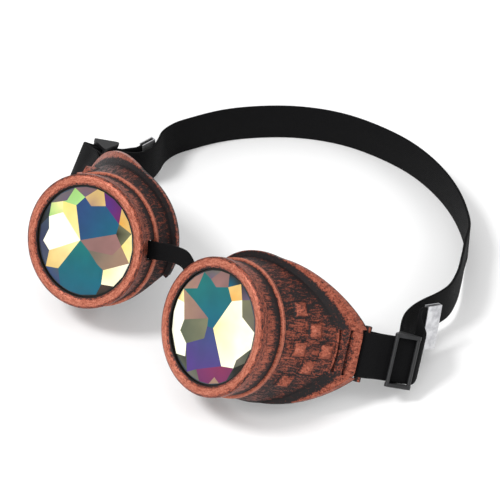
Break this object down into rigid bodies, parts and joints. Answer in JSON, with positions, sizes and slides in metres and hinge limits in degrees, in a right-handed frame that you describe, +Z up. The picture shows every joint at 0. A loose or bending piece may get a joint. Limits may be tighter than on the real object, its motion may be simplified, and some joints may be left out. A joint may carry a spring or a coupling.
{
  "type": "steampunk goggles",
  "caption": "Studded copper-look round goggles with faceted glass lenses in screw-in bezel rings, an elastic nose band and an adjustable elastic head strap.",
  "frame": {"origin": "centre of the bounding box's bottom face, on the table that the goggles lie on", "axes": "+X from the wearer's right-hand cup in the picture's left to the one at the picture's right, +Y from the lenses back to the strap's rear run, +Z up"},
  "size_m": [0.211, 0.1902, 0.0675],
  "materials": {
    "copper_body": "copper dry-brushed over black moulded plastic",
    "copper_ring": "bright copper rubbed over black moulded plastic",
    "lens_glass": "clear faceted glass with an iridescent coating",
    "gasket_rubber": "matt black",
    "black_plastic": "matt black",
    "slider_plastic": "satin black",
    "clip_metal": "light grey",
    "nose_elastic": "woven elastic",
    "strap_elastic": "woven elastic"
  },
  "bodies": {
    "right_cup": {"right_eyecup": "copper_body", "right_band_stop": "black_plastic", "head_strap": "strap_elastic", "nose_band": "nose_elastic", "right_strap_clip": "clip_metal"},
    "right_lens": {"right_lens": "lens_glass", "right_lens_gasket": "gasket_rubber"},
    "right_ring": {"right_bezel_ring": "copper_ring"},
    "right_slider": {"right_slider": "slider_plastic"},
    "left_cup": {"left_eyecup": "copper_body", "left_band_stop": "black_plastic", "left_strap_clip": "clip_metal"},
    "left_lens": {"left_lens": "lens_glass", "left_lens_gasket": "gasket_rubber"},
    "left_ring": {"left_bezel_ring": "copper_ring"},
    "left_slider": {"left_slider": "slider_plastic"}
  },
  "joints": [
    {"name": "nose_fold", "type": "hinge", "parent": "right_cup", "child": "left_cup", "pos_m": [0.00114, -0.0606, 0.04], "axis": [0, 0, 1], "range_deg": [-20, 30], "stiffness_Nm_per_rad": 0.02, "deforming": ["nose_band", "head_strap"]},
    {"name": "right_lens_slide", "type": "slide", "parent": "right_cup", "child": "right_lens", "axis": [-0.1489, -0.8273, 0.5417], "range_m": [0, 0.00401]},
    {"name": "right_ring_turn", "type": "hinge", "parent": "right_lens", "child": "right_ring", "pos_m": [0.04034, -0.07744, 0.04182], "axis": [-0.1489, -0.8273, 0.5417], "range_deg": [0, 480]},
    {"name": "left_lens_slide", "type": "slide", "parent": "left_cup", "child": "left_lens", "axis": [0.1489, -0.8273, 0.5417], "range_m": [0, 0.00401]},
    {"name": "left_ring_turn", "type": "hinge", "parent": "left_lens", "child": "left_ring", "pos_m": [-0.03806, -0.07744, 0.04182], "axis": [0.1489, -0.8273, 0.5417], "range_deg": [0, 480]},
    {"name": "right_slider_slide", "type": "slide", "parent": "right_cup", "child": "right_slider", "axis": [0.6088, 0.722, -0.3288], "range_m": [-0.0035, 0]},
    {"name": "left_slider_slide", "type": "slide", "parent": "left_cup", "child": "left_slider", "axis": [0.685, 0.6847, -0.2489], "range_m": [0, 0.002]}
  ],
  "couplings": [
    {"joint": "right_lens_slide", "follows": "right_ring_turn", "m_per_rad": 0.00047746},
    {"joint": "left_lens_slide", "follows": "left_ring_turn", "m_per_rad": 0.00047746}
  ]
}
